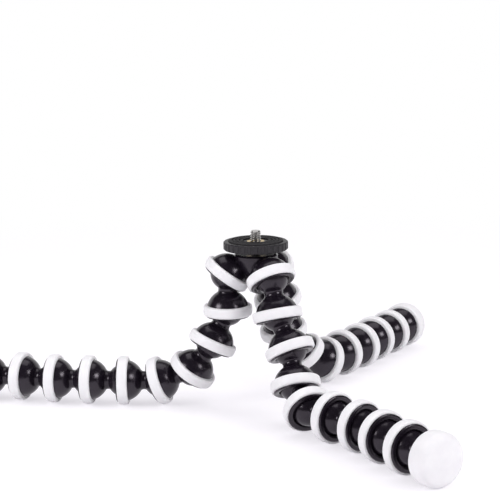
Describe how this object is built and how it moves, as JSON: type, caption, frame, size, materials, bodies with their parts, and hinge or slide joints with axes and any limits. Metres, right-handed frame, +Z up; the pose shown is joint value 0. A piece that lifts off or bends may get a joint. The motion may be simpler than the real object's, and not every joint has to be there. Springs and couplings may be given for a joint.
{
  "type": "flexible camera tripod",
  "caption": "Camera tripod with flexible legs made of ball-and-socket links with white rubber rings, a round hub, a lock wheel and a camera screw.",
  "frame": {"origin": "on the axis of the camera screw, on the face that the camera sits on", "axes": "+Z up along the camera screw; +X towards the right of the picture, -Y towards its viewer"},
  "size_m": [0.2894, 0.3128, 0.1055],
  "materials": {
    "black_plastic": "gloss",
    "white_rubber": "satin",
    "steel": "machined",
    "wheel_plastic": "satin",
    "brass": "machined",
    "pad_rubber": "matte"
  },
  "bodies": {
    "hub": {"hub_body": "black_plastic", "hub_rings": "white_rubber", "camera_stud": "steel"},
    "pad": {"seat_pad": "pad_rubber"},
    "wheel": {"lock_wheel": "wheel_plastic", "wheel_insert": "brass"},
    "left_link_1": {"left_link_1": "black_plastic", "left_ring_1": "white_rubber"},
    "left_link_2": {"left_link_2": "black_plastic", "left_ring_2": "white_rubber"},
    "left_link_3": {"left_link_3": "black_plastic", "left_ring_3": "white_rubber"},
    "left_link_4": {"left_link_4": "black_plastic", "left_ring_4": "white_rubber"},
    "left_link_5": {"left_link_5": "black_plastic", "left_ring_5": "white_rubber"},
    "left_link_6": {"left_link_6": "black_plastic", "left_ring_6": "white_rubber"},
    "left_link_7": {"left_link_7": "black_plastic", "left_ring_7": "white_rubber"},
    "left_link_8": {"left_link_8": "black_plastic", "left_ring_8": "white_rubber"},
    "left_foot": {"left_foot": "black_plastic", "left_foot_sole": "white_rubber"},
    "front_link_1": {"front_link_1": "black_plastic", "front_ring_1": "white_rubber"},
    "front_link_2": {"front_link_2": "black_plastic", "front_ring_2": "white_rubber"},
    "front_link_3": {"front_link_3": "black_plastic", "front_ring_3": "white_rubber"},
    "front_link_4": {"front_link_4": "black_plastic", "front_ring_4": "white_rubber"},
    "front_link_5": {"front_link_5": "black_plastic", "front_ring_5": "white_rubber"},
    "front_link_6": {"front_link_6": "black_plastic", "front_ring_6": "white_rubber"},
    "front_link_7": {"front_link_7": "black_plastic", "front_ring_7": "white_rubber"},
    "front_link_8": {"front_link_8": "black_plastic", "front_ring_8": "white_rubber"},
    "front_foot": {"front_foot": "black_plastic", "front_foot_sole": "white_rubber"},
    "rear_link_1": {"rear_link_1": "black_plastic", "rear_ring_1": "white_rubber"},
    "rear_link_2": {"rear_link_2": "black_plastic", "rear_ring_2": "white_rubber"},
    "rear_link_3": {"rear_link_3": "black_plastic", "rear_ring_3": "white_rubber"},
    "rear_link_4": {"rear_link_4": "black_plastic", "rear_ring_4": "white_rubber"},
    "rear_link_5": {"rear_link_5": "black_plastic", "rear_ring_5": "white_rubber"},
    "rear_link_6": {"rear_link_6": "black_plastic", "rear_ring_6": "white_rubber"},
    "rear_link_7": {"rear_link_7": "black_plastic", "rear_ring_7": "white_rubber"},
    "rear_link_8": {"rear_link_8": "black_plastic", "rear_ring_8": "white_rubber"},
    "rear_foot": {"rear_foot": "black_plastic", "rear_foot_sole": "white_rubber"}
  },
  "joints": [
    {"name": "pad_lift", "type": "slide", "parent": "hub", "child": "pad", "axis": [0, 0, 1], "range_m": [-0.00191, 0]},
    {"name": "wheel_turn", "type": "hinge", "parent": "pad", "child": "wheel", "pos_m": [0, 0, -0.003], "axis": [0, 0, 1], "range_deg": [-540, 0]},
    {"name": "left_ball_1", "type": "hinge", "parent": "hub", "child": "left_link_1", "pos_m": [-0.017, 0, -0.02], "axis": [0, -1, 0], "range_deg": [-72, 0]},
    {"name": "left_ball_2", "type": "hinge", "parent": "left_link_1", "child": "left_link_2", "pos_m": [-0.017, 0, -0.0415], "axis": [0.2079, -0.9781, 0], "range_deg": [-9.96, 56]},
    {"name": "left_ball_3", "type": "hinge", "parent": "left_link_2", "child": "left_link_3", "pos_m": [-0.02622, -0.00196, -0.06082], "axis": [-0.7233, -0.5615, 0.402], "range_deg": [-19.08, 52.92]},
    {"name": "left_ball_4", "type": "hinge", "parent": "left_link_3", "child": "left_link_4", "pos_m": [-0.03843, 0.00131, -0.07822], "axis": [0.1192, 0.9876, 0.102], "range_deg": [-70.51, 1.49]},
    {"name": "left_ball_5", "type": "hinge", "parent": "left_link_4", "child": "left_link_5", "pos_m": [-0.05841, 0.00448, -0.0855], "axis": [-0.0331, -0.9466, -0.3207], "range_deg": [-15.05, 56.95]},
    {"name": "left_ball_6", "type": "hinge", "parent": "left_link_5", "child": "left_link_6", "pos_m": [-0.07989, 0.00523, -0.0855], "axis": [0, 0, 1], "range_deg": [-30, 42]},
    {"name": "left_ball_7", "type": "hinge", "parent": "left_link_6", "child": "left_link_7", "pos_m": [-0.10118, 0.00822, -0.0855], "axis": [0, 0, 1], "range_deg": [-33, 39]},
    {"name": "left_ball_8", "type": "hinge", "parent": "left_link_7", "child": "left_link_8", "pos_m": [-0.12229, 0.01232, -0.0855], "axis": [0, 0, 1], "range_deg": [-30, 42]},
    {"name": "left_ball_9", "type": "hinge", "parent": "left_link_8", "child": "left_foot", "pos_m": [-0.14285, 0.01861, -0.0855], "axis": [0, 0, -1], "range_deg": [-27, 45]},
    {"name": "front_ball_1", "type": "hinge", "parent": "hub", "child": "front_link_1", "pos_m": [0.0085, -0.01472, -0.02], "axis": [-0.858, -0.5135, 0.0114], "range_deg": [-18, 53]},
    {"name": "front_ball_2", "type": "hinge", "parent": "front_link_1", "child": "front_link_2", "pos_m": [0.01189, -0.02084, -0.04033], "axis": [-0.6723, -0.7323, 0.1083], "range_deg": [-48.44, 23.56]},
    {"name": "front_ball_3", "type": "hinge", "parent": "front_link_2", "child": "front_link_3", "pos_m": [0.01856, -0.02969, -0.05876], "axis": [-0.5075, 0.6908, -0.515], "range_deg": [-48.29, 23.71]},
    {"name": "front_ball_4", "type": "hinge", "parent": "front_link_3", "child": "front_link_4", "pos_m": [0.02139, -0.04105, -0.07679], "axis": [0.9306, 0.3575, -0.0791], "range_deg": [-2.7, 69.3]},
    {"name": "front_ball_5", "type": "hinge", "parent": "front_link_4", "child": "front_link_5", "pos_m": [0.02779, -0.05964, -0.0855], "axis": [-0.6551, -0.4936, 0.572], "range_deg": [-65.6, 6.4]},
    {"name": "front_ball_6", "type": "hinge", "parent": "front_link_5", "child": "front_link_6", "pos_m": [0.04073, -0.07681, -0.0855], "axis": [0, 0, -1], "range_deg": [-36, 36]},
    {"name": "front_ball_7", "type": "hinge", "parent": "front_link_6", "child": "front_link_7", "pos_m": [0.05397, -0.09375, -0.0855], "axis": [0, 0, -1], "range_deg": [-44, 28]},
    {"name": "front_ball_8", "type": "hinge", "parent": "front_link_7", "child": "front_link_8", "pos_m": [0.06472, -0.11237, -0.0855], "axis": [0, 0, 1], "range_deg": [-36, 36]},
    {"name": "front_ball_9", "type": "hinge", "parent": "front_link_8", "child": "front_foot", "pos_m": [0.07579, -0.1308, -0.0855], "axis": [0, 0, -1], "range_deg": [-36, 36]},
    {"name": "rear_ball_1", "type": "hinge", "parent": "hub", "child": "rear_link_1", "pos_m": [0.0085, 0.01472, -0.02], "axis": [-0.8958, 0.4419, -0.0474], "range_deg": [-50.07, 21.93]},
    {"name": "rear_ball_2", "type": "hinge", "parent": "rear_link_1", "child": "rear_link_2", "pos_m": [0.01289, 0.02148, -0.03993], "axis": [0.8997, -0.4336, 0.051], "range_deg": [-29.92, 42.08]},
    {"name": "rear_ball_3", "type": "hinge", "parent": "rear_link_2", "child": "rear_link_3", "pos_m": [0.01637, 0.02627, -0.0606], "axis": [-0.3278, 0.931, 0.1607], "range_deg": [-11.06, 60.94]},
    {"name": "rear_ball_4", "type": "hinge", "parent": "rear_link_3", "child": "rear_link_4", "pos_m": [0.02797, 0.03324, -0.07731], "axis": [0.7661, -0.5719, 0.2933], "range_deg": [-66.9, 5.1]},
    {"name": "rear_ball_5", "type": "hinge", "parent": "rear_link_4", "child": "rear_link_5", "pos_m": [0.04178, 0.04754, -0.0855], "axis": [-0.7658, 0.5362, -0.355], "range_deg": [-11.95, 60.05]},
    {"name": "rear_ball_6", "type": "hinge", "parent": "rear_link_5", "child": "rear_link_6", "pos_m": [0.05411, 0.06515, -0.0855], "axis": [0, 0, 1], "range_deg": [-36, 36]},
    {"name": "rear_ball_7", "type": "hinge", "parent": "rear_link_6", "child": "rear_link_7", "pos_m": [0.06675, 0.08255, -0.0855], "axis": [0, 0, -1], "range_deg": [-30, 42]},
    {"name": "rear_ball_8", "type": "hinge", "parent": "rear_link_7", "child": "rear_link_8", "pos_m": [0.0775, 0.10117, -0.0855], "axis": [0, 0, 1], "range_deg": [-32, 40]},
    {"name": "rear_ball_9", "type": "hinge", "parent": "rear_link_8", "child": "rear_foot", "pos_m": [0.08952, 0.11899, -0.0855], "axis": [0, 0, -1], "range_deg": [-32, 40]}
  ],
  "couplings": [
    {"joint": "wheel_turn", "follows": "pad_lift", "rad_per_m": 4947.4}
  ]
}
